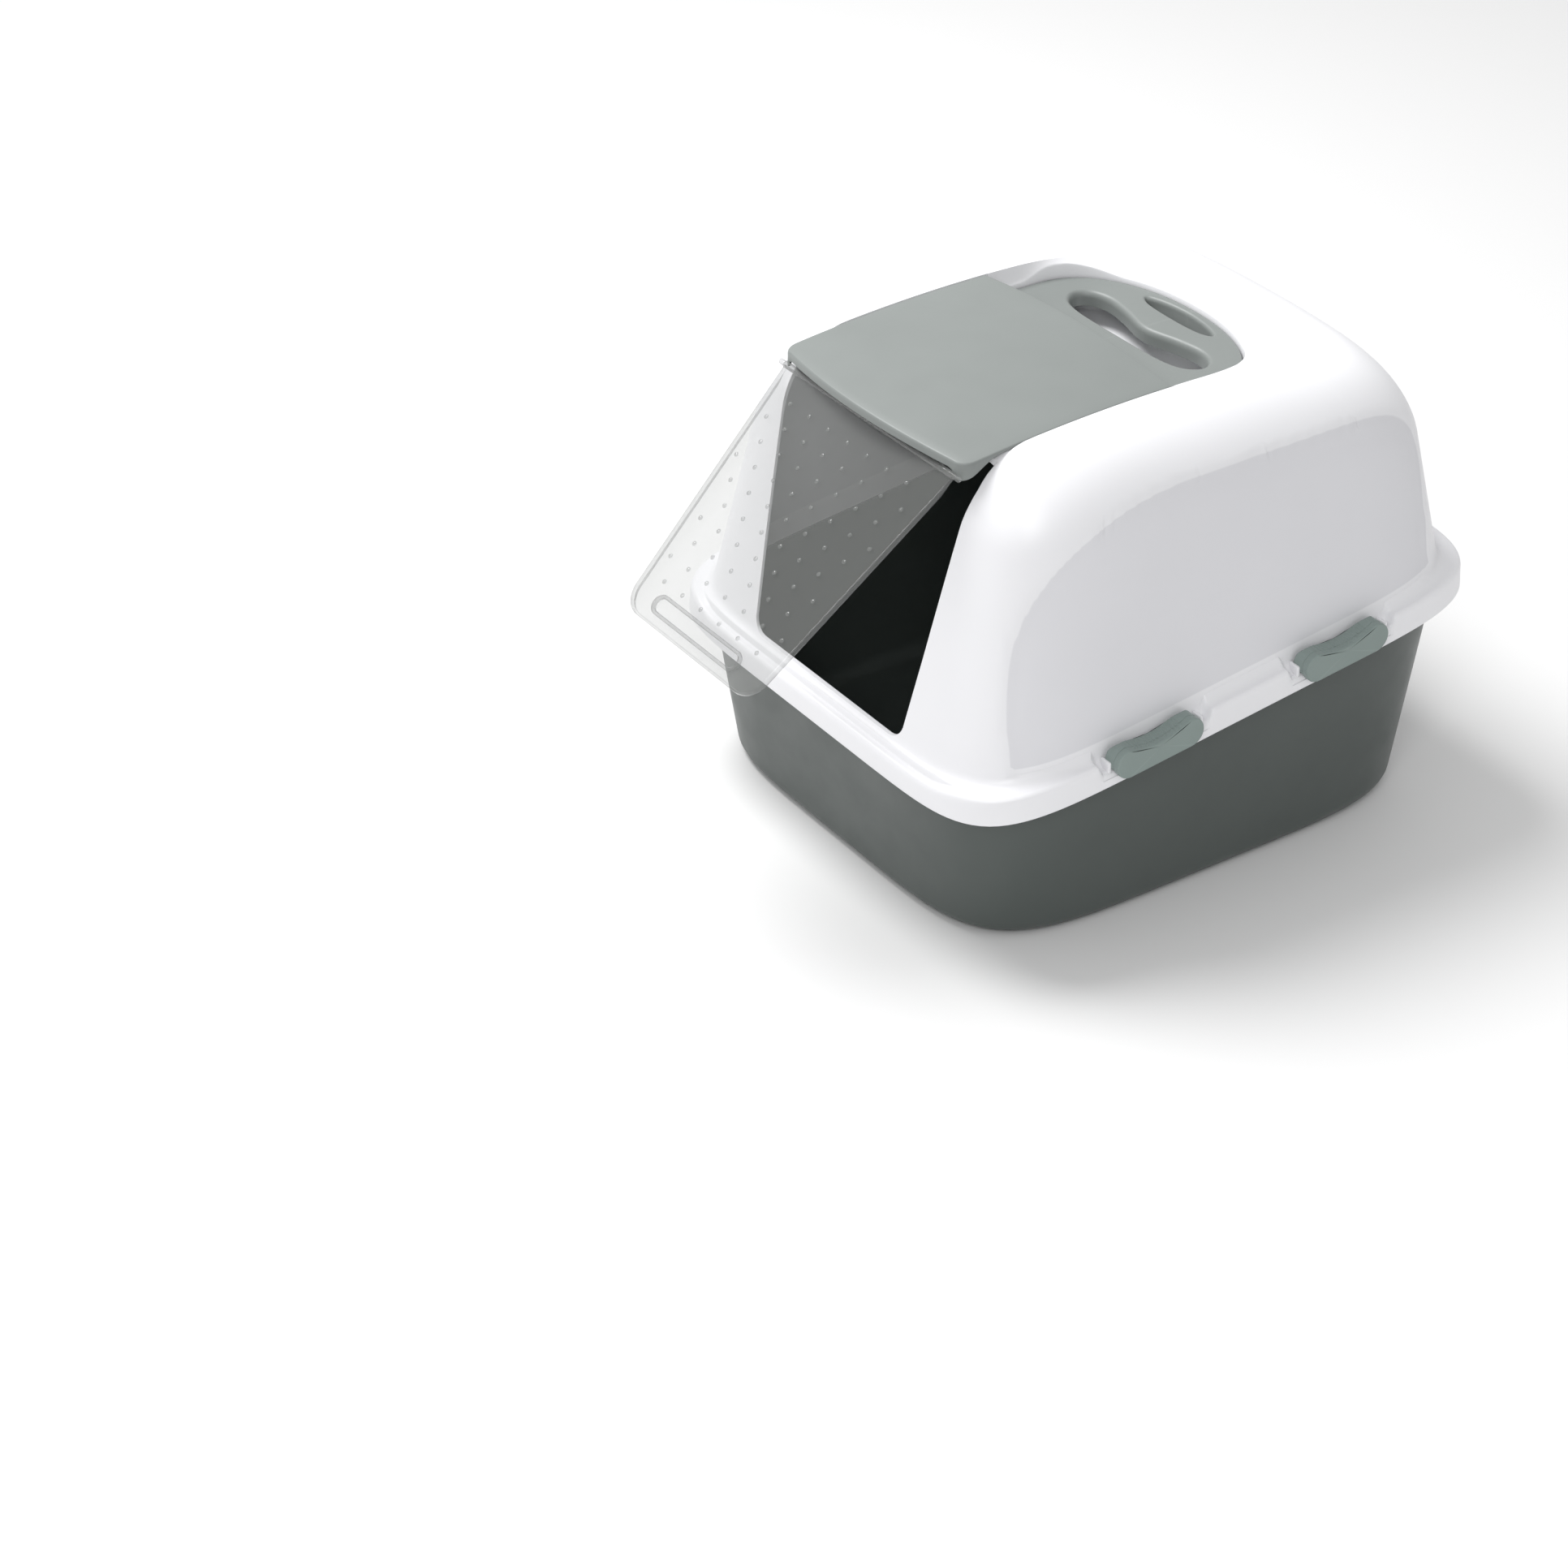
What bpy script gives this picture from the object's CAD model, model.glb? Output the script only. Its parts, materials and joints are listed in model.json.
import json
import math

import bmesh
import bpy
import numpy as np
from mathutils import Matrix, Vector


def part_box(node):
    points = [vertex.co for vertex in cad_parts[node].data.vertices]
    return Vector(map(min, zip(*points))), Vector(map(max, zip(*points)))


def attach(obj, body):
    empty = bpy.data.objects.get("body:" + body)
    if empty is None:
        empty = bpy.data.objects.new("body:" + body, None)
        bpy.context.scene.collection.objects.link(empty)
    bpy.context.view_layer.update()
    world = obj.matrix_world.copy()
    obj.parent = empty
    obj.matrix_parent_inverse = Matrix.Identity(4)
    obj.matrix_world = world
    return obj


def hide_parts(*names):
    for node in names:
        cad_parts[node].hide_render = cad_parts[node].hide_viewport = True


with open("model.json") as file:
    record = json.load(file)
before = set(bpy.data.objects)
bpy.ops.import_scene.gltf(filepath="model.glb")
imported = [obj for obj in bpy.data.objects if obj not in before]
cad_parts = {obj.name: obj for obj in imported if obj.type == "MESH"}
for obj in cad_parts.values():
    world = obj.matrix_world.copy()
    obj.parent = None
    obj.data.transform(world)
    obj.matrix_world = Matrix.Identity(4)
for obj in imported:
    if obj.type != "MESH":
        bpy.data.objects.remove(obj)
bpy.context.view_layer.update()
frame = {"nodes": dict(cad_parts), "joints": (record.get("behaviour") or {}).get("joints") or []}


def box_mm(node):
    lo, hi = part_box(node)
    return lo * 1000, hi * 1000


# ---- sizes in millimetres, taken from the CAD frame where it says them ----
hood_lo, hood_hi = box_mm("hood")
pan_hi = box_mm("pan")[1]
visor_lo, visor_hi = box_mm("visor")
door_hi = box_mm("door")[1]
handle_lo, handle_hi = box_mm("handle")
latch_lo, latch_hi = box_mm("latch_front_right")
latch_rear_lo, latch_rear_hi = box_mm("latch_rear_right")

SKIRT_A = pan_hi.x + 5.0         # half width of the skirt
SKIRT_B = hood_hi.y              # half length of the skirt
TILT = (latch_rear_hi.z - latch_hi.z) / (latch_rear_hi.y - latch_hi.y)   # slope of the parting line
SKIRT_Z = hood_lo.z + TILT * SKIRT_B
SKIRT_H = 24.7
WALL = 3.0
FOOT_A = SKIRT_A - 12            # the walls' outline where they leave the skirt
FOOT_B = SKIRT_B - 17
FOOT_N = 6.4
TOP_Z = 475.0                    # height at which the walls' outline is given by TOP_A and TOP_B
TOP_A = 199.5
TOP_B = 213.0
TOP_Y = 7.0
TOP_N = 5.6
CROWN_Z = 447.0
CROWN_Y = -25.0
CROWN_RX = 1024.0                # radii of the roof's crown across and along the box
CROWN_RY = 1600.0
SHOULDER_R = 56.0
PANEL_STEP = 2.6                 # how far the side panels are sunk
ARCH_Z = 150.0
ARCH_H = 248.0
ARCH_FRONT = 232.0
ARCH_REAR = 222.0
RAY_START = (0.0, 0.0, 250.0)
SEAT_W = 130.0                   # half width of the visor's seat
OPEN_W = 119.0                   # half width of the opening under the visor
ABOVE = 480.0                    # clear of everything
SEAM_Y = visor_hi.y + 0.4
POCKET_Z = box_mm("filter_cover")[1].z + WALL + 0.1
DISH_Z = handle_hi.z + 3.5
LATCH_Y = (latch_rear_hi.y + latch_rear_lo.y - latch_hi.y - latch_lo.y) / 4
NOTCH_HALF = 58.0
NOTCH_H = 14.8
PIVOT_X = 248.0                  # latch pivot, across the box and over the skirt's lower edge
PIVOT_H = 26.0
LATCH_SWEEP = 9.2                # what lies inside the latch's plate keeps to this radius round the pivot
D_CENTRE = 50.0
D_W = 122.4                      # half width of the handle insert
D_STRAIGHT_Y = 46.0              # where its straight sides end
D_L = 79.0                       # length of its round end
D_N = 2.15
D_TURN = np.linspace(-math.pi, math.pi, 180, endpoint=False)
DOOR_L = 247.0
DOOR_TOP_W = 121.0
DOOR_LOW_W = 95.0
DOOR_OPEN = math.radians(48.2)   # angle of the door from hanging straight down
VISOR_W = visor_hi.x


def rim_z(y, above=0.0):
    return SKIRT_Z + above + TILT * y


def flat(z):
    """Level height, for ring and d_outline."""
    return lambda x, y: z + 0 * x


def smooth(t):
    t = np.clip(t, 0.0, 1.0)
    return t * t * (3 - 2 * t)


def crown_z(x, y):
    return CROWN_Z - x * x / (2 * CROWN_RX) - (y - CROWN_Y) ** 2 / (2 * CROWN_RY)


# ---- directions round the box, closer together where the ledge changes height ----
def directions():
    turns = [2 * math.pi * i / 288 for i in range(288)]
    extra = []
    for centre in (-LATCH_Y, LATCH_Y):
        for end in (-NOTCH_HALF, NOTCH_HALF):
            for k in range(-7, 8):
                a = math.atan2(centre + end + 1.4 * k, SKIRT_A - 3)
                extra += [a % (2 * math.pi), (math.pi - a) % (2 * math.pi)]
    kept = [t for t in turns if min(abs(t - e) for e in extra) > 0.004]
    return np.array(sorted(kept + extra))


TURN = directions()


def ring(a, b, n, height):
    """Outline |x/a|^n + |y/b|^n = 1 with its height given by a function of x and y."""
    c = np.cos(TURN)
    s = np.sin(TURN)
    r = (np.abs(c / a) ** n + np.abs(s / b) ** n) ** (-1.0 / n)
    x = r * c
    y = r * s
    return np.column_stack([x, y, height(x, y) + 0 * x])


def stack(rows, tip_first=None, tip_last=None, loop=False):
    """Faces between equal rings, closed with a fan at a tip where one is given."""
    n = len(rows[0])
    verts = np.vstack(rows).tolist()
    faces = []
    pairs = list(zip(range(len(rows) - 1), range(1, len(rows))))
    if loop:
        pairs.append((len(rows) - 1, 0))
    for a, b in pairs:
        for i in range(n):
            j = (i + 1) % n
            faces.append((a * n + i, a * n + j, b * n + j, b * n + i))
    for tip, row in ((tip_first, 0), (tip_last, len(rows) - 1)):
        if tip is not None:
            verts.append(list(tip))
            k = len(verts) - 1
            for i in range(n):
                faces.append((row * n + i, row * n + (i + 1) % n, k))
    return verts, faces


def mesh_of(name, verts, faces, angle=35):
    mesh = bpy.data.meshes.new(name)
    mesh.from_pydata([[c * 0.001 for c in v] for v in verts], [], faces)
    bm = bmesh.new()
    bm.from_mesh(mesh)
    bmesh.ops.recalc_face_normals(bm, faces=bm.faces)
    bm.to_mesh(mesh)
    bm.free()
    obj = bpy.data.objects.new(name, mesh)
    bpy.context.scene.collection.objects.link(obj)
    shade(obj, angle)
    return obj


def shade(obj, angle):
    obj.data.shade_smooth()
    obj.data.set_sharp_from_angle(angle=math.radians(angle))


def cut(obj, *tools):
    """Take closed tool meshes away from a piece."""
    for tool in tools:
        mod = obj.modifiers.new("cut", "BOOLEAN")
        mod.operation = "DIFFERENCE"
        mod.solver = "EXACT"
        mod.object = tool
        dg = bpy.context.evaluated_depsgraph_get()
        done = bpy.data.meshes.new_from_object(obj.evaluated_get(dg))
        obj.modifiers.clear()
        old = obj.data
        obj.data = done
        bpy.data.meshes.remove(old)
        bpy.data.objects.remove(tool)


def join(obj, *others):
    """Take the meshes of other pieces into one piece."""
    bm = bmesh.new()
    bm.from_mesh(obj.data)
    for other in others:
        bm.from_mesh(other.data)
        bpy.data.objects.remove(other)
    bm.to_mesh(obj.data)
    bm.free()


def block(x0, x1, y0, y1, z0, z1, bevel=0.8):
    """Small moulded lug with rounded edges."""
    verts = [(x, y, z) for z in (z0, z1) for y in (y0, y1) for x in (x0, x1)]
    faces = [(0, 1, 3, 2), (4, 6, 7, 5), (0, 4, 5, 1), (2, 3, 7, 6), (0, 2, 6, 4), (1, 5, 7, 3)]
    obj = mesh_of("lug", verts, faces)
    bm = bmesh.new()
    bm.from_mesh(obj.data)
    bmesh.ops.bevel(bm, geom=list(bm.edges), offset=bevel * 0.001, segments=3, profile=0.5, affect="EDGES")
    bm.to_mesh(obj.data)
    bm.free()
    shade(obj, 40)
    return obj


def pin(r, start, end):
    """Round pin with a small chamfer at both ends."""
    start = np.array(start, float)
    end = np.array(end, float)
    along = (end - start) / np.linalg.norm(end - start)
    side = np.cross(along, (0.0, 0.3, 1.0))
    side /= np.linalg.norm(side)
    other = np.cross(along, side)
    t = np.linspace(0, 2 * math.pi, 32, endpoint=False)[:, None]
    rows = []
    for p, rad in ((start, r - 0.5), (start + along * 0.5, r), (end - along * 0.5, r), (end, r - 0.5)):
        rows.append(p + rad * (np.cos(t) * side + np.sin(t) * other))
    return mesh_of("pin", *stack(rows, start, end))


# ---- pan ----
def make_pan():
    base_a = 225.0
    base_b = 252.0
    rim_a = 236.0
    rim_b = 270.0
    out = pan_hi.x
    grow = SKIRT_B - SKIRT_A
    rim = 11.0
    fillet = 16.0

    def wall(k, inset, lift=0.0, span=rim - WALL):
        a = base_a + (rim_a - base_a) * k - inset
        b = base_b + (rim_b - base_b) * k - inset
        n = 5.2 + k
        return ring(a, b, n, lambda x, y: lift + (rim_z(y, span) - lift) * k)

    rows = []
    tall = SKIRT_Z
    for i in range(9):
        t = math.pi / 2 * i / 8
        k = fillet * (1 - math.cos(t)) / tall
        rows.append(wall(k, fillet * (1 - math.sin(t))))
    for i in range(1, 25):
        rows.append(wall(fillet / tall + (1 - fillet / tall) * i / 24, 0))
    flange = [(out - 2.6, 7.6), (out - 2.2, 7.2), (out - 2.2, 3.4), (out - 1.8, 3.0), (out - 0.5, 3.0),
              (out, 3.5), (out, 9.4), (out - 0.5, 10.5), (out - 1.6, 11.0)]
    for a, h in flange:
        rows.append(ring(a, a + grow, 6.9, lambda x, y, h=h: rim_z(y, h)))
    rows.append(ring(rim_a - 1.5, rim_b - 1.5, 6.2, lambda x, y: rim_z(y, rim)))
    rows.append(ring(rim_a - 2.6, rim_b - 2.6, 6.2, lambda x, y: rim_z(y, rim - 0.4)))
    inner = fillet - WALL
    for i in range(25):
        k = 1 - (1 - inner / tall) * i / 24
        rows.append(wall(k, WALL, WALL, rim - 1.4))
    for i in range(1, 9):
        t = math.pi / 2 * i / 8
        k = inner * (1 - math.sin(t)) / tall
        rows.append(wall(k, WALL + inner * (1 - math.cos(t)), WALL, rim))

    def level(s, z):
        return ring((base_a - 17) * s, (base_b - 17) * s, 5.2 - 2.2 * (1 - s), flat(z))

    floor = [level(s, WALL) for s in (0.9, 0.7, 0.45, 0.2)]
    under = [level(s, 0) for s in (0.2, 0.45, 0.7, 0.9)]
    return mesh_of("pan_moulding", *stack(under + rows + floor, (0, 0, 0), (0, 0, WALL)), angle=40)


# ---- hood: leaning walls under a crowned top, found by following rays from inside ----
def wall_gap(x, y, z):
    """Distance outside the leaning walls, negative inside."""
    k = (z - rim_z(y, SKIRT_H)) / (TOP_Z - rim_z(y, SKIRT_H))
    a = FOOT_A + (TOP_A - FOOT_A) * k
    b = FOOT_B + (TOP_B - FOOT_B) * k
    n = FOOT_N + (TOP_N - FOOT_N) * k
    dy = y - TOP_Y * k
    g = (np.abs(x / a) ** n + np.abs(dy / b) ** n) ** (1 / n)
    return np.hypot(x, dy) * (1 - 1 / np.maximum(g, 0.02))


def inside_arch(y, z):
    """Distance inside the arched outline of the side panel, millimetres."""
    front = y < 0
    n = np.where(front, 3.2, 7.0)
    half = np.where(front, ARCH_FRONT, ARCH_REAR)
    g = (np.abs(y / half) ** n + (np.maximum(z - ARCH_Z, 0) / ARCH_H) ** n) ** (1 / n)
    return (1 - g) * 190


def panel_depth(x, y, z):
    """Side panels sunk below an arched step."""
    side = smooth((np.abs(x) - 175) / 20)
    return PANEL_STEP * smooth(inside_arch(y, z) / 3.5) * side


def mark_panels(obj):
    """Store on the mesh how far each point lies inside a side panel."""
    co = np.zeros(len(obj.data.vertices) * 3)
    obj.data.vertices.foreach_get("co", co)
    x, y, z = (co.reshape(-1, 3) * 1000).T
    outer = smooth((np.abs(x) - 190) / 4)
    above = z - rim_z(y, SKIRT_H + 12)
    far = np.minimum(np.clip(inside_arch(y, z) - 1.5, -10, 10), np.clip(above, -10, 10))
    mask = obj.data.attributes.new("panel", "FLOAT", "POINT")
    mask.data.foreach_set("value", (far * outer - 10 * (1 - outer)).astype(np.float32))


def rounded(a, b, r):
    """Intersection of two solids, given as distances, with a rounded edge between them."""
    return np.minimum(-r, np.maximum(a, b)) + np.hypot(np.maximum(a + r, 0), np.maximum(b + r, 0))


def outer_gap(x, y, z):
    return rounded(wall_gap(x, y, z), z - crown_z(x, y), SHOULDER_R) + panel_depth(x, y, z)


def inner_gap(x, y, z):
    inside = smooth((138 - np.abs(x)) / 5)
    rail = crown_z(x, y) - WALL - 4.2 * inside
    back = smooth((y - SEAM_Y + 7) / 4) * smooth((206 - y) / 8) * inside
    top = rail + (POCKET_Z - WALL - rail) * back
    return rounded(wall_gap(x, y, z) + WALL + panel_depth(x, y, z), z - top, SHOULDER_R - WALL)


def follow(start, way, gap):
    """Points where rays from the start cross the surface gap = 0."""
    near = np.full(len(way), 40.0)
    far = np.full(len(way), 520.0)
    for _ in range(34):
        mid = (near + far) / 2
        p = start + way * mid[:, None]
        out = gap(p[:, 0], p[:, 1], p[:, 2]) > 0
        far = np.where(out, mid, far)
        near = np.where(out, near, mid)
    return start + way * far[:, None]


def dome_rows(gap, foot, count):
    """Rings from the foot outline up to just short of the top."""
    start = np.array(RAY_START)
    way0 = foot - start
    way0 /= np.linalg.norm(way0, axis=1)[:, None]
    tall = np.arccos(way0[:, 2])
    outward = way0.copy()
    outward[:, 2] = 0
    outward /= np.linalg.norm(outward, axis=1)[:, None]
    rows = []
    for i in range(count):
        a = tall * (1 - i / count)
        way = outward * np.sin(a)[:, None]
        way[:, 2] = np.cos(a)
        rows.append(follow(start, way, gap))
    return rows


def notch(x, y):
    """1 where the side ledge is lowered for a latch."""
    d = np.abs(np.abs(y) - LATCH_Y)
    return smooth((NOTCH_HALF + 3.5 - d) / 7) * (np.abs(x) > 200)


def front_step(x, y):
    return smooth((205 - np.abs(x)) / 45) * (y < -200)


def ledge(h, low=1.0):
    """Height over the skirt's lower edge, lowered at the latches and along the front step."""
    def height(x, y):
        upper = min(1.0, max(0.0, (h - 8) / 10))
        drop = (SKIRT_H - NOTCH_H) * notch(x, y) * upper
        return rim_z(y, h - drop - 5.0 * low * front_step(x, y) * upper)
    return height


def skirt(inset, h, low=1.0):
    return ring(SKIRT_A - inset, SKIRT_B - inset, 7.0, ledge(h, low))


def make_hood():
    draft = 1.3
    r = 4.0
    rows = [skirt(1.0, 0), skirt(0.35, 0.25), skirt(0, 0.9), skirt(0.1, 4), skirt(0.4, 8)]
    rows += [skirt(draft * h / SKIRT_H, h) for h in (12, 16, 19)]
    for i in range(7):
        t = math.pi / 2 * i / 6
        rows.append(skirt(draft + r * (1 - math.cos(t)), SKIRT_H - r * (1 - math.sin(t))))
    rows.append(ring(SKIRT_A - 5.42, SKIRT_B - 9.2, 6.9, ledge(SKIRT_H)))
    rows.append(ring(SKIRT_A - 5.46, SKIRT_B - 9.9, 6.8, ledge(SKIRT_H, 0.8)))
    rows.append(ring(SKIRT_A - 5.5, SKIRT_B - 10.4, 6.7, ledge(SKIRT_H, 0.2)))
    rows.append(ring(SKIRT_A - 5.55, SKIRT_B - 11.2, 6.6, ledge(SKIRT_H, 0.0)))
    rf = 6.2
    for i in range(6):
        t = math.pi / 2 * i / 6
        d = rf * (1 - math.sin(t))
        h = rf * (1 - math.cos(t))
        a = FOOT_A + d - 0.14 * h
        b = FOOT_B + d * 0.9 - 0.16 * h
        rows.append(ring(a, b, FOOT_N, ledge(SKIRT_H + h, 0.0)))
    foot = ring(FOOT_A - 1.0, FOOT_B - 1.2, FOOT_N,
                lambda x, y: rim_z(y, SKIRT_H + 7) - 9.0 * notch(x, y))
    outer = rows + dome_rows(outer_gap, foot, 78)
    foot_in = ring(FOOT_A - WALL, FOOT_B - WALL, FOOT_N, lambda x, y: rim_z(y, 9.0))
    inner = [skirt(WALL - 0.6, 0), skirt(WALL, 0.6), skirt(WALL + 0.4, 9)]
    inner.append(ring(SKIRT_A - 5.5, SKIRT_B - 7.0, 6.8, lambda x, y: rim_z(y, 9.4)))
    inner += dome_rows(inner_gap, foot_in, 46)
    rows = list(reversed(outer)) + inner
    tips = (0, 0, float(crown_z(0, 0))), (0, 0, POCKET_Z - WALL)
    hood = mesh_of("hood_moulding", *stack(rows, *tips), angle=30)
    cut(hood, entrance_tool(), seat_tool(), access_tool(), dish_tool(), swing_tool())
    shade(hood, 30)
    return hood


def extrude_y(points, y0, y1):
    """Closed tool with its outline given in x and z."""
    rows = [np.array([(x, y0, z) for x, z in points]), np.array([(x, y1, z) for x, z in points])]
    n = len(points)
    verts, faces = stack(rows)
    faces += [tuple(range(n)), tuple(range(n, 2 * n))]
    return mesh_of("tool", verts, faces)


def arc(cx, cz, r, a0, a1, steps):
    """Points on an arc, angles in degrees."""
    return [(cx + r * math.cos(math.radians(a0 + (a1 - a0) * i / steps)),
             cz + r * math.sin(math.radians(a0 + (a1 - a0) * i / steps))) for i in range(steps + 1)]


def entrance_tool():
    low = 111.0
    z0 = 169.5
    r = 16.0
    half = [(low - 0.5 + 20 * (z - z0) / 222.5, z) for z in (z0 + r, 250, 320, 392)]
    right = arc(low - r, z0 + r, r, -90, 0, 8) + half[1:]
    right += [(131.0, 402), (SEAT_W, 414), (SEAT_W, ABOVE)]
    left = [(-x, z) for x, z in reversed(right)]
    return extrude_y(right + left, -330, -190)


def grid_tool(xs, ys, bottom, top=ABOVE):
    """Closed block whose underside is a height field."""
    nx = len(xs)
    ny = len(ys)
    verts = [(x, y, bottom(x, y)) for y in ys for x in xs] + [(x, y, top) for y in ys for x in xs]
    off = nx * ny
    faces = []
    for j in range(ny - 1):
        for i in range(nx - 1):
            q = (j * nx + i, j * nx + i + 1, (j + 1) * nx + i + 1, (j + 1) * nx + i)
            faces += [q, tuple(k + off for k in q)]
    edge = [(i, i + 1) for i in range(nx - 1)]
    edge += [((ny - 1) * nx + i + 1, (ny - 1) * nx + i) for i in range(nx - 1)]
    edge += [((j + 1) * nx, j * nx) for j in range(ny - 1)]
    edge += [(j * nx + nx - 1, (j + 1) * nx + nx - 1) for j in range(ny - 1)]
    faces += [(a, b, b + off, a + off) for a, b in edge]
    return mesh_of("tool", verts, faces)


def seat_tool():
    xs = np.linspace(-SEAT_W, SEAT_W, 41).tolist()
    ys = np.linspace(-300, SEAM_Y, 41).tolist()
    return grid_tool(xs, ys, lambda x, y: crown_z(x, y) - 3.9)


def access_tool():
    return grid_tool([-OPEN_W, OPEN_W], [-310.0, SEAM_Y - 3.4], lambda x, y: 380.0)


def swing_tool():
    """Room for the visor's rear edge, which swings down behind its hinge."""
    w = SEAT_W - 0.2
    return grid_tool([-w, w], [SEAM_Y - 6.0, SEAM_Y + 1.6], lambda x, y: DISH_Z - 1.5)


def d_outline(grow, height):
    """Plan of the handle insert: straight front and sides, round rear."""
    w = D_W + grow
    front = SEAM_Y + 0.2 - D_CENTRE - grow
    straight = D_STRAIGHT_Y - D_CENTRE
    rear = D_L + grow
    c = np.cos(D_TURN)
    s = np.sin(D_TURN)
    side = w / np.maximum(np.abs(c), 1e-6)
    line = np.where(s < 0, front / np.minimum(s, -1e-6), 1e6)
    r = np.minimum(side, line)
    lo = np.zeros_like(r)
    hi = np.full_like(r, 260.0)
    for _ in range(40):
        mid = (lo + hi) / 2
        x = mid * c
        y = mid * s - straight
        past_end = (np.abs(x) / w) ** D_N + (np.maximum(y, 0) / rear) ** D_N > 1
        out = np.where(y > 0, past_end, mid > r)
        hi = np.where(out, mid, hi)
        lo = np.where(out, lo, mid)
    r = lo
    x = r * c
    y = D_CENTRE + r * s
    return np.column_stack([x, y, height(x, y) + 0 * x])


def shrunk(row, k):
    """Copy of a ring drawn in towards its centre."""
    c = np.array([0.0, D_CENTRE, row[0, 2]])
    return c + (row - c) * k


def dish_z(x, y):
    """Dish round the handle: level in the middle, rising to the sides and the rear."""
    half = SEAT_W - 13 * smooth((y - 50) / 110)
    run = 6.5 + 36 * smooth((y - 25) / 80)
    side = np.clip((np.abs(x) - half + run) / run, 0, 1.4)
    rear = np.maximum(y - 128, 0) / 62
    return DISH_Z + 17.5 * side ** 1.6 + 18 * rear ** 2


def dish_tool():
    floor = d_outline(-4, flat(POCKET_Z))
    rows = [shrunk(floor, 0.3), shrunk(floor, 0.6), shrunk(floor, 0.85), floor,
            d_outline(-1.2, flat(POCKET_Z + 1.2)), d_outline(0.6, flat(POCKET_Z + 4)),
            d_outline(1.0, flat(DISH_Z - 6)), d_outline(1.0, lambda x, y: dish_z(x, y) - 1.0)]
    edge = d_outline(1.5, dish_z)
    rows.append(edge)
    w = SEAT_W + 1.5
    c = np.cos(D_TURN)
    s = np.sin(D_TURN)
    front = SEAM_Y - 0.4 - D_CENTRE
    r = np.minimum(w / np.maximum(np.abs(c), 1e-6), np.where(s < 0, front / np.minimum(s, -1e-6), 1e6))
    r = np.minimum(r, (np.abs(c / w) ** 4 + (np.abs(s) / 150.0) ** 4) ** -0.25 + 400 * (s < 0))
    outer = np.column_stack([r * c, D_CENTRE + r * s, 0 * r])
    for i in range(1, 21):
        k = i / 20
        p = edge * (1 - k) + outer * k
        p[:, 2] = dish_z(p[:, 0], p[:, 1])
        rows.append(p)
    top = rows[-1].copy()
    top[:, 2] = ABOVE
    rows.append(top)
    return mesh_of("tool", *stack(rows, (0, D_CENTRE, POCKET_Z), (0, D_CENTRE, ABOVE)))


# ---- visor ----
def visor_outline(inset):
    """Plan of the visor: straight rear and sides, bowed front with round corners."""
    w = VISOR_W - inset
    rear = visor_hi.y - inset
    corner = visor_lo.y + 16.0 + inset
    bow = 14.0
    r = 13.0 - min(inset, 9)
    pts = [(-w, rear), (w, rear)]
    side = [(w, rear + (corner + r - rear) * i / 40) for i in range(1, 41)]
    front = []
    for i in range(61):
        x = (w - r) * (1 - 2 * i / 60)
        front.append((x, corner - 2 - bow * (1 - (x / (w - r)) ** 2)))
    turn = [math.pi / 2 * i / 8 for i in range(1, 8)]
    right = side + [(w - r + r * math.cos(t), corner + r - (r + 2) * math.sin(t)) for t in turn]
    left = [(-x, y) for x, y in reversed(right)]
    loop = pts + right + front + left
    back = [(-w + 2 * w * i / 50, rear) for i in range(1, 50)]
    return np.array([pts[0]] + back + [pts[1]] + loop[2:])


def lip_depth(x, y):
    """Depth of the visor's edge: deeper along the front, deepest at the cheeks."""
    front = smooth((-y - 188) / 34)
    cheek = smooth((-y - 186) / 40) * smooth((np.abs(x) - 114) / 9)
    return 3.0 + 4.5 * front + 8.5 * cheek


def make_visor():
    def at(loop, drop):
        x = loop[:, 0]
        y = loop[:, 1]
        return np.column_stack([x, y, crown_z(x, y) - 0.4 - drop])

    centre = np.array([0.0, -124.0])
    edge = visor_outline(1.6)
    rows = []
    for i in range(1, 15):
        k = i / 14
        rows.append(at(centre + (edge - centre) * k, 0))
    rise = smooth((-(edge[:, 1]) - 195) / 30)
    for i in range(1, 6):
        t = math.pi / 2 * i / 5
        loop = visor_outline(1.6 * (1 - math.sin(t)))
        rows.append(at(loop, (1.6 + 1.4 * rise) * (1 - math.cos(t))))
    full = visor_outline(0)
    deep = lip_depth(full[:, 0], full[:, 1])
    rows.append(at(full, np.maximum(deep - 0.4, 1.8 + 1.4 * rise)))
    rows.append(at(visor_outline(0.5), np.maximum(deep, 2.2 + 1.4 * rise)))
    rows.append(at(visor_outline(2.0), np.maximum(deep, 2.4 + 1.4 * rise)))
    rows.append(at(visor_outline(2.6), np.maximum(deep - 0.5, 2.8)))
    inner = visor_outline(3.0)
    for i in range(14, 0, -1):
        rows.append(at(centre + (inner - centre) * i / 14, 3.0))
    mid = float(crown_z(0, -124.0)) - 0.4
    visor = mesh_of("visor_moulding", *stack(rows, (0, -124, mid), (0, -124, mid - 3)), angle=40)
    extra = []
    hinge_y, hinge_z = hinge("visor_flip")
    for side in (-1, 1):
        x = side * 115.3
        top = float(crown_z(115, -15)) - 2
        extra.append(block(x - 3.2, x + 3.2, hinge_y - 8, hinge_y + 4, hinge_z - 3.6, top))
        extra.append(pin(2.5, (side * 114, hinge_y, hinge_z), (side * 123.4, hinge_y, hinge_z)))
    join(visor, *extra)
    return visor


def hinge(joint):
    """Height and depth of a joint's axis, from the frame's record."""
    found = [j for j in frame["joints"] if j["name"] == joint][0]
    pos = found["pos_m"]
    return pos[1] * 1000, pos[2] * 1000


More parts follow.
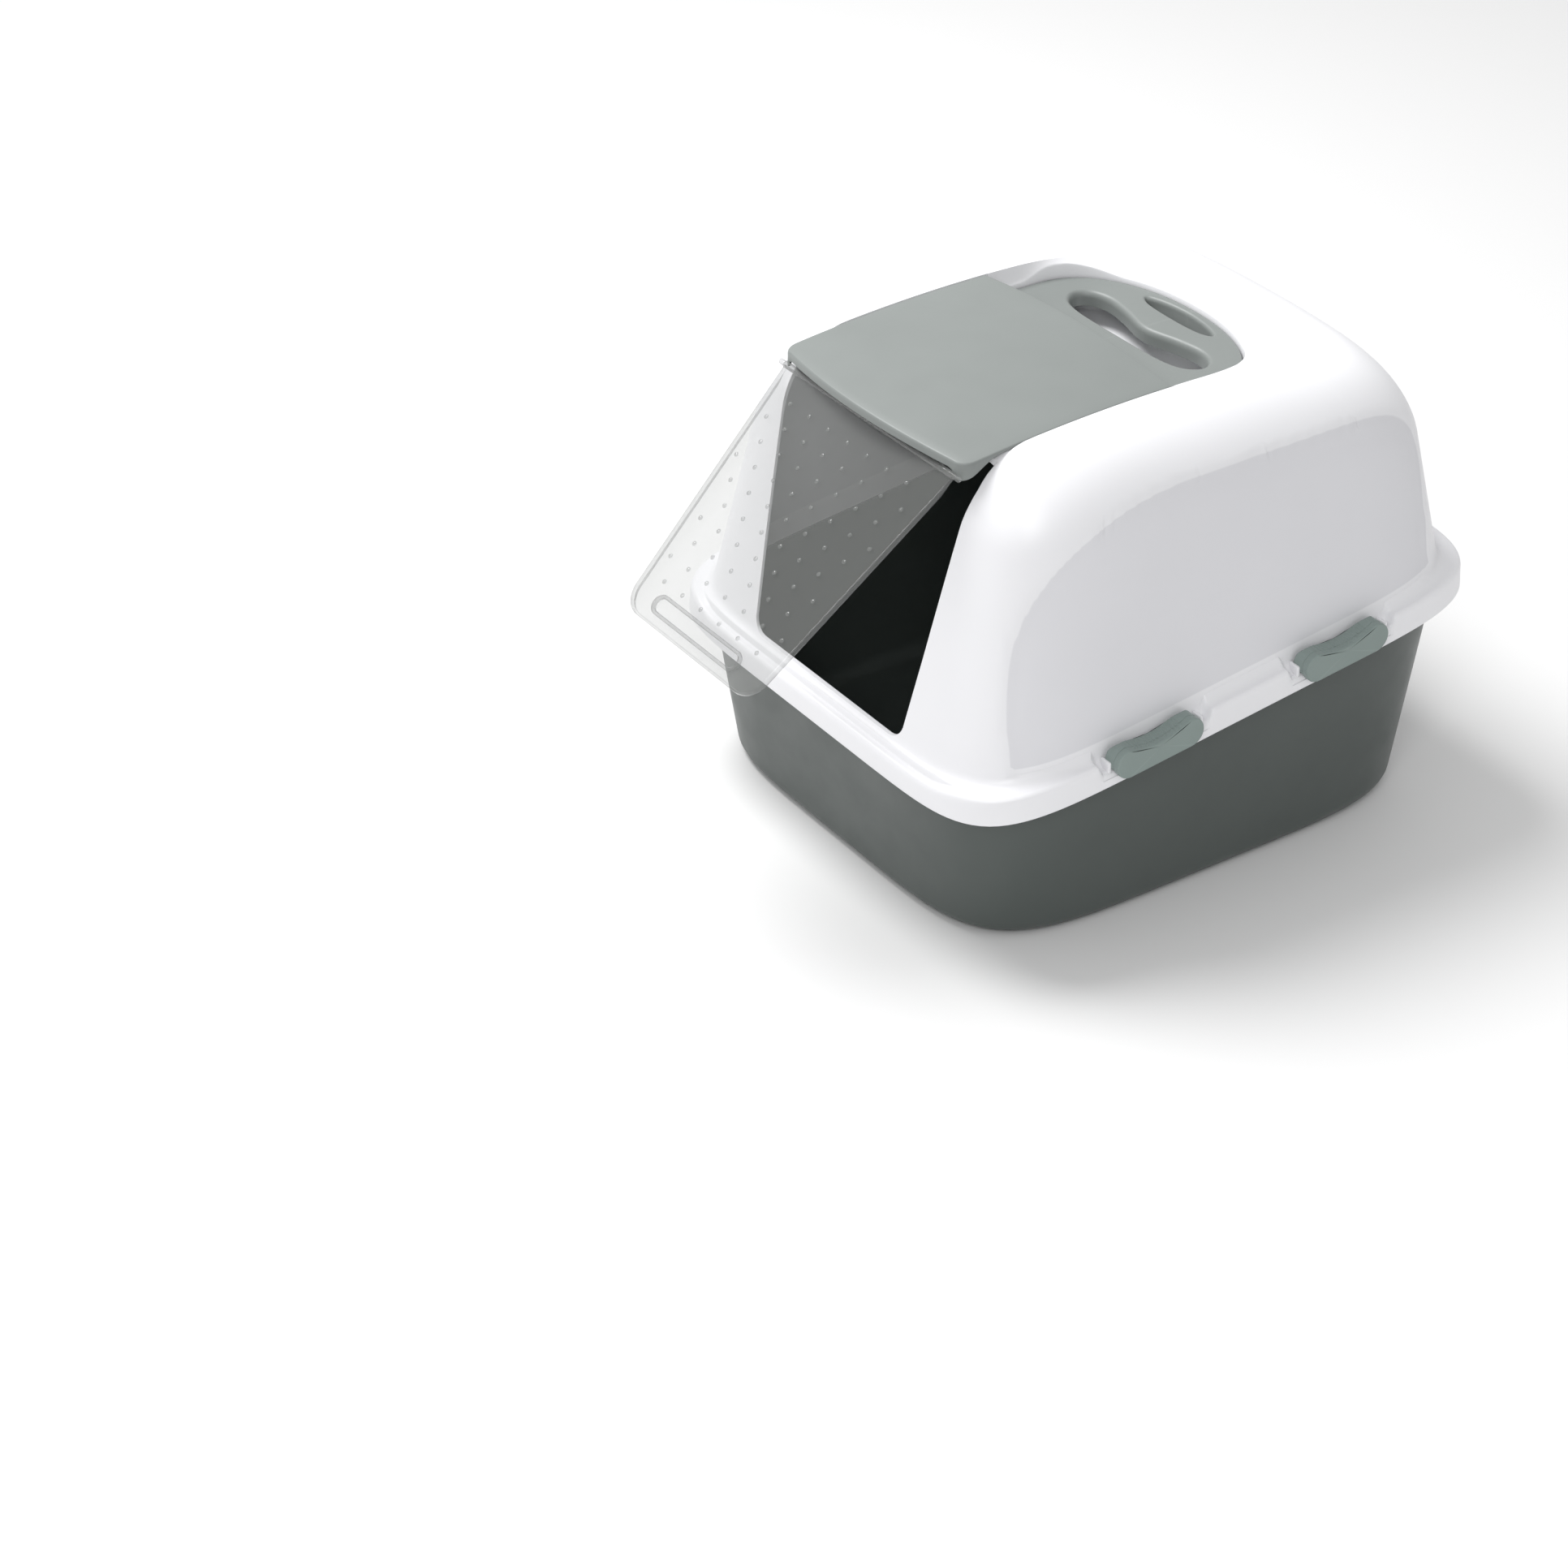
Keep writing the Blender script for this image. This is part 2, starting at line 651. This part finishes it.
# ---- door ----
def make_door():
    hy, hz = hinge("door_swing")
    down = np.array([0, -math.sin(DOOR_OPEN), -math.cos(DOOR_OPEN)])
    out = np.array([0, -math.cos(DOOR_OPEN), math.sin(DOOR_OPEN)])
    slope = (DOOR_TOP_W - DOOR_LOW_W) / DOOR_L

    def place(u, v, w):
        return np.column_stack([u, hy + v * down[1] + w * out[1], hz + v * down[2] + w * out[2]])

    def outline(inset):
        r = 24.0 - inset
        end = DOOR_L - inset
        right = [(DOOR_TOP_W - inset - slope * v, v) for v in np.linspace(0.5 + inset * 0.2, end - r, 36)]
        cx = right[-1][0] - r
        right += [(cx + r * math.cos(math.radians(a)), end - r + r * math.sin(math.radians(a)))
                  for a in range(9, 90, 9)]
        base = [(x, end) for x in np.linspace(cx, -cx, 30)]
        left = [(-x, v) for x, v in reversed(right)]
        start = [(x, left[-1][1]) for x in np.linspace(left[-1][0], right[0][0], 32)[1:-1]]
        return np.array(right + base + left + start)

    def at(inset, w):
        loop = outline(inset)
        flange = smooth((loop[:, 1] - 4) / 14)
        return place(loop[:, 0], loop[:, 1], max(w, -1.9) + min(w + 1.9, 0) * flange)

    front = 1.25
    centre = np.array([0.0, 120.0])
    body = outline(1.0)
    rows = [place(*(centre + (body - centre) * k).T, front) for k in (0.15, 0.4, 0.7, 1.0)]
    rows += [at(0.6, front - 0.15), at(0.2, front - 0.5), at(0, front - 1.0), at(0, -4.6), at(0.3, -5.1),
             at(1.0, -5.25), at(1.7, -5.1), at(2.0, -4.6), at(2.1, -1.9)]
    back = outline(2.8)
    rows += [place(*(centre + (back - centre) * k).T, -1.25) for k in (1.0, 0.7, 0.4, 0.15)]
    one = np.array([0.0])
    tip = [place(one, one + 120, w)[0] for w in (front, -1.25)]
    door = mesh_of("door_sheet", *stack(rows, tip[0], tip[1]), angle=40)
    extra = [pin(3.4, (-DOOR_TOP_W, hy, hz), (DOOR_TOP_W, hy, hz)),
             pin(2.5, (-door_hi.x + 0.2, hy, hz), (door_hi.x - 0.2, hy, hz))]
    for row in range(10):
        v = 26 + 20.5 * row
        wide = DOOR_TOP_W - slope * v - 10
        for col in range(-4, 5):
            x = 28 * col + (14 if row % 2 else 0)
            if abs(x) < wide:
                extra.append(bump(place, x, v, front))
    extra.append(pull_frame(place, DOOR_L - 19.0, front))
    join(door, *extra)
    shade(door, 40)
    return door


def bump(place, x, v, w):
    """Small dome on the door's outer face."""
    t = np.linspace(0, 2 * math.pi, 16, endpoint=False)
    rows = []
    for i in range(5):
        a = math.pi / 2 * i / 5
        rows.append(place(x + 2.2 * math.cos(a) * np.cos(t), v + 2.2 * math.cos(a) * np.sin(t),
                          w - 0.2 + 1.3 * math.sin(a)))
    one = np.array([0.0])
    tips = [place(one + x, one + v, w + h)[0] for h in (-0.2, 1.1)]
    return mesh_of("bump", *stack(rows, *tips))


def pull_frame(place, v0, front):
    """Raised stadium-shaped rim of the finger pull."""
    def loop(grow, w):
        r = 8.0 + grow
        h = 54.0
        p = np.array(arc(h, 0, r, -90, 90, 18) + arc(-h, 0, r, 90, 270, 18))
        return place(p[:, 0], v0 + p[:, 1], w)

    rows = [loop(1.6, front - 0.4), loop(1.5, front + 2.2), loop(1.0, front + 2.9), loop(0, front + 3.1),
            loop(-1.0, front + 2.9), loop(-1.5, front + 2.2), loop(-1.8, front - 0.4)]
    return mesh_of("pull", *stack(rows, loop=True))


# ---- handle ----
def smooth_loop(half_pts, steps=160):
    """Closed smooth outline through points given for its right half."""
    pts = list(half_pts) + [(-x, y) for x, y in reversed(half_pts) if x > 0.01]
    p = np.array(pts, float)
    n = len(p)
    out = []
    for k in range(steps):
        f = k * n / steps
        i = int(f)
        t = f - i
        p0, p1, p2, p3 = p[(i - 1) % n], p[i % n], p[(i + 1) % n], p[(i + 2) % n]
        out.append(0.5 * (2 * p1 + (p2 - p0) * t + (2 * p0 - 5 * p1 + 4 * p2 - p3) * t ** 2
                          + (3 * p1 - p0 - 3 * p2 + p3) * t ** 3))
    return np.array(out)


def grown(loop, d):
    """Loop moved outwards by d."""
    ahead = np.roll(loop, -2, 0) - np.roll(loop, 2, 0)
    side = np.column_stack([ahead[:, 1], -ahead[:, 0]])
    side /= np.linalg.norm(side, axis=1)[:, None]
    return loop + side * d


def hole_tool(half_pts, flare, top):
    """Opening with an edge that flares out to the top face."""
    loop = smooth_loop(half_pts)
    area = np.sum(loop[:, 0] * np.roll(loop[:, 1], -1) - loop[:, 1] * np.roll(loop[:, 0], -1))
    sign = 1 if area > 0 else -1
    rows = [np.column_stack([loop, 0 * loop[:, :1] + z]) for z in (top - 20, top - flare * 1.3)]
    for i in range(1, 9):
        t = math.pi / 2 * i / 8
        g = grown(loop, sign * flare * (1 - math.cos(t)))
        rows.append(np.column_stack([g, 0 * g[:, :1] + top - flare * 1.3 * (1 - math.sin(t))]))
    g = grown(loop, sign * (flare + 0.15))
    rows.append(np.column_stack([g, 0 * g[:, :1] + top + 6]))
    c = loop.mean(0)
    return mesh_of("tool", *stack(rows, (c[0], c[1], top - 20), (c[0], c[1], top + 6)))


def make_handle():
    top = handle_hi.z
    foot = handle_lo.z
    face = d_outline(-2.0, flat(top))
    under = d_outline(-1.2, flat(foot))
    rows = [shrunk(face, 0.1), shrunk(face, 0.5), shrunk(face, 0.9), face,
            d_outline(-1.2, flat(top - 0.25)), d_outline(-0.6, flat(top - 0.9)),
            d_outline(-0.6, flat(foot + 0.6)), under, shrunk(under, 0.5), shrunk(under, 0.1)]
    handle = mesh_of("handle_moulding", *stack(rows, (0, D_CENTRE, top), (0, D_CENTRE, foot)), angle=40)
    bean = [(0, 40), (30, 40), (58, 41.5), (78, 47), (87, 60), (80, 72), (62, 77.5), (36, 74), (0, 66)]
    lens = [(0, 99), (24, 99.8), (38, 102), (45, 106.5), (36, 111), (20, 114.5), (0, 116)]
    cut(handle, hole_tool(bean, 5.0, top), hole_tool(lens, 3.4, top))
    shade(handle, 32)
    return handle


# ---- latches ----
def make_latch(name, side, y_mid):
    """Dog-bone lever with a ribbed waist, drawn at y = 0 with heights over the skirt's lower edge."""
    low = 6.5
    high = 34.0
    dip = 7.0
    half = 46.0
    r = (high - low) / 2
    h = half - r
    x_in = latch_lo.x + 0.6
    x_plate = latch_hi.x - 7.0
    x_out = latch_hi.x

    def outline(inset, bottom, ribs):
        top = []
        for y in np.linspace(h, -h, 150):
            z = high - inset - dip * (1 - (y / h) ** 2)
            wave = 0.4 * ribs * (math.cos(2 * math.pi * y / 4.0) > 0.2) * (abs(y) < 27)
            top.append((y, z + wave))
        right = arc(h, low + r, r - inset, -90, 81, 19)
        left = [(-y, z) for y, z in reversed(right)]
        base = [(y, low + inset) for y in np.linspace(-h, h, 40)]
        p = np.array(right + top + left + base)
        p[:, 1] = np.maximum(p[:, 1], bottom)
        return p

    def at(x, inset, bottom, ribs):
        p = outline(inset, bottom, ribs)
        if x < PIVOT_X - 3:
            reach = math.sqrt(LATCH_SWEEP ** 2 - min(PIVOT_X - x, 9.0) ** 2)
            p[:, 1] = np.clip(p[:, 1], PIVOT_H - reach, PIVOT_H + reach)
        return np.column_stack([0 * p[:, 0] + x, p[:, 0], p[:, 1]])

    floor = NOTCH_H + 1.4
    rows = [at(x_in, 1.0, floor + 1, 0), at(x_in + 0.4, 0.3, floor + 0.3, 0), at(x_in + 1.2, 0, floor, 0.6),
            at(x_in + 2, 0, floor, 1), at(x_plate - 1, 0, floor, 1), at(x_plate - 0.4, 0, floor - 0.4, 1),
            at(x_plate, 0.5, low, 1), at(x_plate + 0.5, 0, low, 1), at(x_out - 3.2, 0, low, 1),
            at(x_out - 2.6, 0, low, 0)]
    for i in range(5):
        t = math.pi / 2 * i / 4
        rows.append(at(x_out - 1.3 + 1.3 * math.sin(t), 1.3 * (1 - math.cos(t)), low, 0))
    face = rows[-1]
    centre = face.mean(0)
    for k in (0.8, 0.5, 0.2):
        rows.append(centre + (face - centre) * k)
    back = rows[0]
    middle = back.mean(0)
    rows.insert(0, middle + (back - middle) * 0.5)
    verts, faces = stack(rows, middle, centre)
    verts = np.array(verts)
    lean = math.atan(TILT)
    z = verts[:, 2] * math.cos(lean) + verts[:, 1] * math.sin(lean)
    y = verts[:, 1] * math.cos(lean) - verts[:, 2] * math.sin(lean)
    placed = np.column_stack([side * verts[:, 0], y + y_mid, z + rim_z(y_mid)])
    return mesh_of(name + "_lever", placed.tolist(), faces, angle=28)


def latch_lugs(y_mid, side):
    """Pivot lugs beside a latch."""
    lugs = []
    for end in (-1, 1):
        y = y_mid + end * 48.6
        x = sorted((side * (FOOT_A - 2), side * (SKIRT_A - 1.8)))
        lugs.append(block(*x, y - 1.7, y + 1.7, rim_z(y, NOTCH_H - 2), rim_z(y, 23.0), 1.2))
    return lugs


# ---- materials ----
def nodes_for(name):
    mat = bpy.data.materials.new(name)
    mat.use_nodes = True
    tree = mat.node_tree
    return mat, tree, tree.nodes["Principled BSDF"]


def plastic(name, colour, rough, grain, edge_round=0.0009, tint=0.035, etched=None):
    """Moulded polypropylene: faint flow clouding, fine spark texture and rubbed edges.

    With etched, what lies inside the side panels is that much darker and more matt.
    """
    mat, tree, shader = nodes_for(name)
    new = tree.nodes.new
    link = tree.links.new
    coord = new("ShaderNodeTexCoord")
    cloud = new("ShaderNodeTexNoise")
    cloud.inputs["Scale"].default_value = 9.0
    cloud.inputs["Detail"].default_value = 3.0
    link(coord.outputs["Object"], cloud.inputs["Vector"])
    ramp = new("ShaderNodeValToRGB")
    ramp.color_ramp.elements[0].position = 0.3
    ramp.color_ramp.elements[1].position = 0.7
    dark = [c * (1 - tint) for c in colour]
    light = [min(1.0, c * (1 + tint)) for c in colour]
    ramp.color_ramp.elements[0].color = (*dark, 1)
    ramp.color_ramp.elements[1].color = (*light, 1)
    link(cloud.outputs["Fac"], ramp.inputs["Fac"])
    bevel = new("ShaderNodeBevel")
    bevel.samples = 4
    bevel.inputs["Radius"].default_value = edge_round
    geometry = new("ShaderNodeNewGeometry")
    worn = new("ShaderNodeMapRange")
    worn.inputs["From Min"].default_value = 0.52
    worn.inputs["From Max"].default_value = 0.6
    worn.inputs["To Max"].default_value = 0.25
    link(geometry.outputs["Pointiness"], worn.inputs["Value"])
    mix = new("ShaderNodeMix")
    mix.data_type = "RGBA"
    link(worn.outputs["Result"], mix.inputs["Factor"])
    link(ramp.outputs["Color"], mix.inputs["A"])
    mix.inputs["B"].default_value = (*[min(1.0, c * 1.15 + 0.02) for c in colour], 1)
    skin = mix.outputs["Result"]
    inside = None
    if etched:
        mask = new("ShaderNodeAttribute")
        mask.attribute_name = "panel"
        inside = new("ShaderNodeMapRange")
        inside.inputs["From Min"].default_value = -0.6
        inside.inputs["From Max"].default_value = 0.6
        link(mask.outputs["Fac"], inside.inputs["Value"])
        matt = new("ShaderNodeMix")
        matt.data_type = "RGBA"
        matt.blend_type = "MULTIPLY"
        matt.inputs["B"].default_value = (etched, etched, etched + 0.01, 1)
        link(inside.outputs["Result"], matt.inputs["Factor"])
        link(skin, matt.inputs["A"])
        skin = matt.outputs["Result"]
    link(skin, shader.inputs["Base Color"])
    fine = new("ShaderNodeTexNoise")
    fine.inputs["Scale"].default_value = 1400.0
    fine.inputs["Detail"].default_value = 2.0
    link(coord.outputs["Object"], fine.inputs["Vector"])
    sparks = new("ShaderNodeBump")
    sparks.inputs["Strength"].default_value = grain
    sparks.inputs["Distance"].default_value = 0.0002
    link(fine.outputs["Fac"], sparks.inputs["Height"])
    link(bevel.outputs["Normal"], sparks.inputs["Normal"])
    link(sparks.outputs["Normal"], shader.inputs["Normal"])
    patch = new("ShaderNodeTexNoise")
    patch.inputs["Scale"].default_value = 28.0
    patch.inputs["Detail"].default_value = 4.0
    link(coord.outputs["Object"], patch.inputs["Vector"])
    gloss = new("ShaderNodeMapRange")
    gloss.inputs["From Min"].default_value = 0.3
    gloss.inputs["From Max"].default_value = 0.7
    gloss.inputs["To Min"].default_value = rough - 0.05
    gloss.inputs["To Max"].default_value = rough + 0.05
    link(patch.outputs["Fac"], gloss.inputs["Value"])
    polish = gloss.outputs["Result"]
    if etched:
        rougher = new("ShaderNodeMath")
        rougher.operation = "MULTIPLY_ADD"
        rougher.inputs[1].default_value = 0.14
        link(inside.outputs["Result"], rougher.inputs[0])
        link(polish, rougher.inputs[2])
        polish = rougher.outputs["Value"]
    link(polish, shader.inputs["Roughness"])
    return mat


def clear_plastic(name):
    """Clear styrene sheet: faint smoke tint and handling marks in its gloss."""
    mat, tree, shader = nodes_for(name)
    new = tree.nodes.new
    link = tree.links.new
    coord = new("ShaderNodeTexCoord")
    marks = new("ShaderNodeTexNoise")
    marks.inputs["Scale"].default_value = 60.0
    marks.inputs["Detail"].default_value = 6.0
    link(coord.outputs["Object"], marks.inputs["Vector"])
    gloss = new("ShaderNodeMapRange")
    gloss.inputs["From Min"].default_value = 0.4
    gloss.inputs["From Max"].default_value = 0.8
    gloss.inputs["To Min"].default_value = 0.03
    gloss.inputs["To Max"].default_value = 0.12
    link(marks.outputs["Fac"], gloss.inputs["Value"])
    link(gloss.outputs["Result"], shader.inputs["Roughness"])
    facing = new("ShaderNodeLayerWeight")
    facing.inputs["Blend"].default_value = 0.4
    tint = new("ShaderNodeValToRGB")
    tint.color_ramp.elements[0].color = (0.30, 0.31, 0.30, 1)
    tint.color_ramp.elements[1].color = (0.09, 0.095, 0.095, 1)
    link(facing.outputs["Facing"], tint.inputs["Fac"])
    link(tint.outputs["Color"], shader.inputs["Base Color"])
    veil = new("ShaderNodeMapRange")
    veil.inputs["From Min"].default_value = 0.25
    veil.inputs["From Max"].default_value = 1.0
    veil.inputs["To Min"].default_value = 0.22
    veil.inputs["To Max"].default_value = 0.8
    link(facing.outputs["Facing"], veil.inputs["Value"])
    link(veil.outputs["Result"], shader.inputs["Alpha"])
    shader.inputs["IOR"].default_value = 1.55
    shader.inputs["Specular IOR Level"].default_value = 0.9
    shader.inputs["Coat Weight"].default_value = 0.6
    shader.inputs["Coat Roughness"].default_value = 0.03
    mat.surface_render_method = "BLENDED"
    return mat


def foam(name):
    """Open-cell filter foam: dark pores over a charcoal ground."""
    mat, tree, shader = nodes_for(name)
    new = tree.nodes.new
    link = tree.links.new
    coord = new("ShaderNodeTexCoord")
    cells = new("ShaderNodeTexVoronoi")
    cells.inputs["Scale"].default_value = 420.0
    link(coord.outputs["Object"], cells.inputs["Vector"])
    ramp = new("ShaderNodeValToRGB")
    ramp.color_ramp.elements[0].color = (0.012, 0.012, 0.013, 1)
    ramp.color_ramp.elements[1].color = (0.06, 0.06, 0.062, 1)
    link(cells.outputs["Distance"], ramp.inputs["Fac"])
    link(ramp.outputs["Color"], shader.inputs["Base Color"])
    raised = new("ShaderNodeBump")
    raised.inputs["Strength"].default_value = 0.8
    raised.inputs["Distance"].default_value = 0.001
    link(cells.outputs["Distance"], raised.inputs["Height"])
    link(raised.outputs["Normal"], shader.inputs["Normal"])
    shader.inputs["Roughness"].default_value = 0.95
    return mat


white = plastic("white_plastic", (0.78, 0.78, 0.80), 0.36, 0.08, tint=0.01)
hood_white = plastic("hood_white", (0.78, 0.78, 0.80), 0.36, 0.08, tint=0.01, etched=0.86)
dark = plastic("dark_plastic", (0.066, 0.078, 0.073), 0.42, 0.18)
grey = plastic("grey_plastic", (0.205, 0.222, 0.215), 0.44, 0.14)
lever = plastic("lever_plastic", (0.215, 0.265, 0.25), 0.46, 0.18, edge_round=0.0005)
clear = clear_plastic("clear_sheet")
pad = foam("filter_foam")


def dress(obj, mat, body, slot, *nodes):
    """Give a piece its material and tie it to its body, slot and CAD nodes."""
    obj.data.materials.clear()
    obj.data.materials.append(mat)
    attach(obj, body)
    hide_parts(*nodes)


hood = make_hood()
lugs = []
for latch_side in (-1, 1):
    for latch_y in (-LATCH_Y, LATCH_Y):
        lugs += latch_lugs(latch_y, latch_side)
    ear = latch_side * 125.0
    ear_y, ear_z = hinge("visor_flip")
    lugs.append(block(ear - 2.0, ear + 5, ear_y - 6, ear_y + 5.5, ear_z - 8, ear_z + 4.0))
join(hood, *lugs)
shade(hood, 30)
mark_panels(hood)
dress(hood, hood_white, "hood", "hood_plastic", "hood")
dress(make_pan(), dark, "pan", "pan_plastic", "pan")
dress(make_visor(), grey, "visor", "visor_plastic", "visor")
dress(make_door(), clear, "door", "clear_plastic", "door")
dress(make_handle(), grey, "hood", "visor_plastic", "handle")
for end_name, latch_y in (("front", -LATCH_Y), ("rear", LATCH_Y)):
    for side_name, latch_side in (("left", -1), ("right", 1)):
        latch_name = f"latch_{end_name}_{side_name}"
        latch = make_latch(latch_name, latch_side, latch_y)
        dress(latch, lever, latch_name, "latch_plastic", latch_name)
for node, mat in (("carbon_filter", pad), ("filter_cover", white)):
    obj = frame["nodes"][node]
    obj.data.materials.clear()
    obj.data.materials.append(mat)

# ---- floor, light and camera ----
floor_mesh = bpy.data.meshes.new("floor")
floor_mesh.from_pydata([(-9, -9, 0), (9, -9, 0), (9, 9, 0), (-9, 9, 0)], [], [(0, 1, 2, 3)])
floor = bpy.data.objects.new("floor", floor_mesh)
bpy.context.scene.collection.objects.link(floor)
floor_mat, _, floor_shader = nodes_for("studio_floor")
floor_shader.inputs["Base Color"].default_value = (0.78, 0.78, 0.78, 1)
floor_shader.inputs["Roughness"].default_value = 0.7
floor_mesh.materials.append(floor_mat)

world = bpy.data.worlds.new("studio")
world.use_nodes = True
world.node_tree.nodes["Background"].inputs["Color"].default_value = (1.0, 1.0, 1.0, 1)
world.node_tree.nodes["Background"].inputs["Strength"].default_value = 0.66
bpy.context.scene.world = world


def area_light(name, place, aim, size, power):
    data = bpy.data.lights.new(name, "AREA")
    data.shape = "DISK"
    data.size = size
    data.energy = power
    obj = bpy.data.objects.new(name, data)
    obj.location = place
    obj.rotation_mode = "QUATERNION"
    obj.rotation_quaternion = (Vector(aim) - Vector(place)).to_track_quat("-Z", "Y")
    bpy.context.scene.collection.objects.link(obj)
    return obj


area_light("key", (-1.3, -0.7, 2.8), (0, 0, 0.2), 1.5, 88)
area_light("fill", (1.9, -1.9, 2.1), (0, 0, 0.25), 1.2, 22)
bpy.context.scene.view_settings.view_transform = "Standard"

cam_data = bpy.data.cameras.new("camera")
cam_data.sensor_width = 36.0
cam_data.lens = 84.09
cam_data.clip_end = 50.0
camera = bpy.data.objects.new("camera", cam_data)
yaw = math.radians(55.589)
pitch = math.radians(33.198)
roll = math.radians(0.393)
ahead = Vector((-math.sin(yaw) * math.cos(pitch), math.cos(yaw) * math.cos(pitch), -math.sin(pitch)))
across = Vector((math.cos(yaw), math.sin(yaw), 0))
upward = across.cross(ahead)
right = across * math.cos(roll) + upward * math.sin(roll)
up = upward * math.cos(roll) - across * math.sin(roll)
turn = Matrix((right, up, -ahead)).transposed().to_4x4()
camera.matrix_world = Matrix.Translation((2.20175, -1.81692, 1.82795)) @ turn
bpy.context.scene.collection.objects.link(camera)
bpy.context.scene.camera = camera
